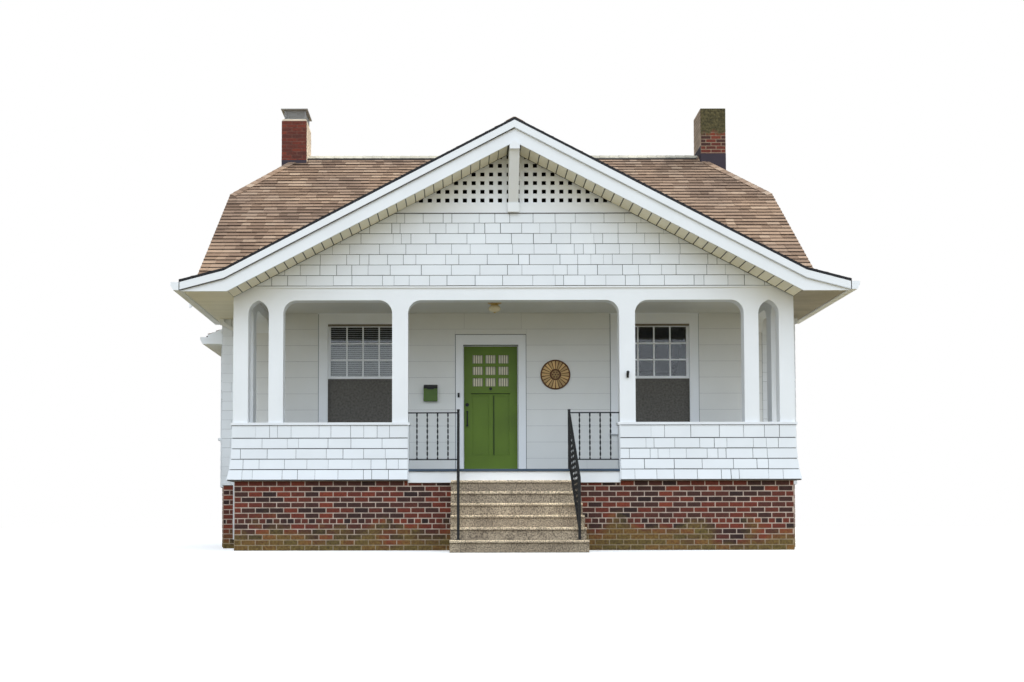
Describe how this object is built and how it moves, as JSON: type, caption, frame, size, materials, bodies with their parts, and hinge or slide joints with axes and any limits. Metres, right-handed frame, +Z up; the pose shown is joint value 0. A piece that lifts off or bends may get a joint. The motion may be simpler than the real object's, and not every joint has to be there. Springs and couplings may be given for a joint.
{
  "type": "bungalow",
  "caption": "Bungalow with a full-width arched front porch under a gable with lattice, clipped-gable main roof, chimneys, brick foundation, steps and a hinged front door.",
  "frame": {"origin": "middle of the footprint's box at the height of the lowest ground that the house stands on", "axes": "+Z up, +Y from the front steps towards the rear wall, +X to the right of someone who faces the front"},
  "size_m": [10.7, 15.67, 9.1056],
  "materials": {
    "white_painted_wood": "painted, satin",
    "brick": "rough brick and mortar",
    "concrete": "speckled, weathered",
    "roof_shingles": "granular",
    "grey_painted_floor": "painted",
    "oiled_floor": "oiled",
    "green_painted_wood": "painted, gloss",
    "green_painted_metal": "satin",
    "clear_glass": "clear",
    "grey_screen": "fine mesh",
    "black_iron": "painted",
    "black_metal": "satin",
    "dark_steel": "weathered",
    "white_painted_metal": "satin",
    "brass_light": "aged",
    "gilt_ornament": "gilded, matte"
  },
  "bodies": {
    "house": {"foundation_cross_walls": "brick", "foundation_side_walls": "brick", "porch_floor": "grey_painted_floor", "porch_apron": "white_painted_wood", "porch_steps": "concrete", "house_floor": "oiled_floor", "front_wall_left": "white_painted_wood", "front_wall_right": "white_painted_wood", "front_wall_at_door": "white_painted_wood", "left_wall": "white_painted_wood", "right_wall": "white_painted_wood", "rear_wall": "white_painted_wood", "front_parapets": "white_painted_wood", "side_parapets": "white_painted_wood", "front_sills": "white_painted_wood", "side_sills": "white_painted_wood", "porch_posts": "white_painted_wood", "porch_beam": "white_painted_wood", "side_beams": "white_painted_wood", "porch_ceiling": "white_painted_wood", "gable_wall": "white_painted_wood", "gable_board": "white_painted_wood", "gable_lattice": "white_painted_wood", "gable_bracket": "white_painted_wood", "porch_roof_left": "roof_shingles", "porch_roof_right": "roof_shingles", "barge_left": "white_painted_wood", "barge_right": "white_painted_wood", "porch_soffits": "white_painted_wood", "eave_fascias": "white_painted_wood", "gutters": "white_painted_metal", "downspouts": "white_painted_metal", "main_roof_front": "roof_shingles", "main_roof_rear": "roof_shingles", "main_roof_clips": "roof_shingles", "main_rake_boards": "white_painted_wood", "main_ridge_cap": "roof_shingles", "left_chimney": "brick", "right_chimney": "brick", "chimney_cap": "dark_steel", "bay_wall": "white_painted_wood", "bay_base": "brick", "bay_roof": "roof_shingles", "bay_eave": "white_painted_wood", "window_frames": "white_painted_wood", "window_glass": "clear_glass", "window_screens": "grey_screen", "door_frame": "white_painted_wood", "hinge_pins": "dark_steel", "guard_rails": "black_iron", "stair_rails": "black_iron", "mailbox": "green_painted_metal", "door_bell": "black_metal", "porch_light": "brass_light", "wall_ornament": "gilt_ornament"},
    "front_door": {"front_door": "green_painted_wood", "door_glass": "clear_glass", "door_hardware": "black_metal", "door_hinges": "dark_steel"}
  },
  "joints": [
    {"name": "front_door_hinge", "type": "hinge", "parent": "house", "child": "front_door", "pos_m": [0.16, -3.807, 2.35], "axis": [0, 0, -1], "range_deg": [0, 90]}
  ]
}
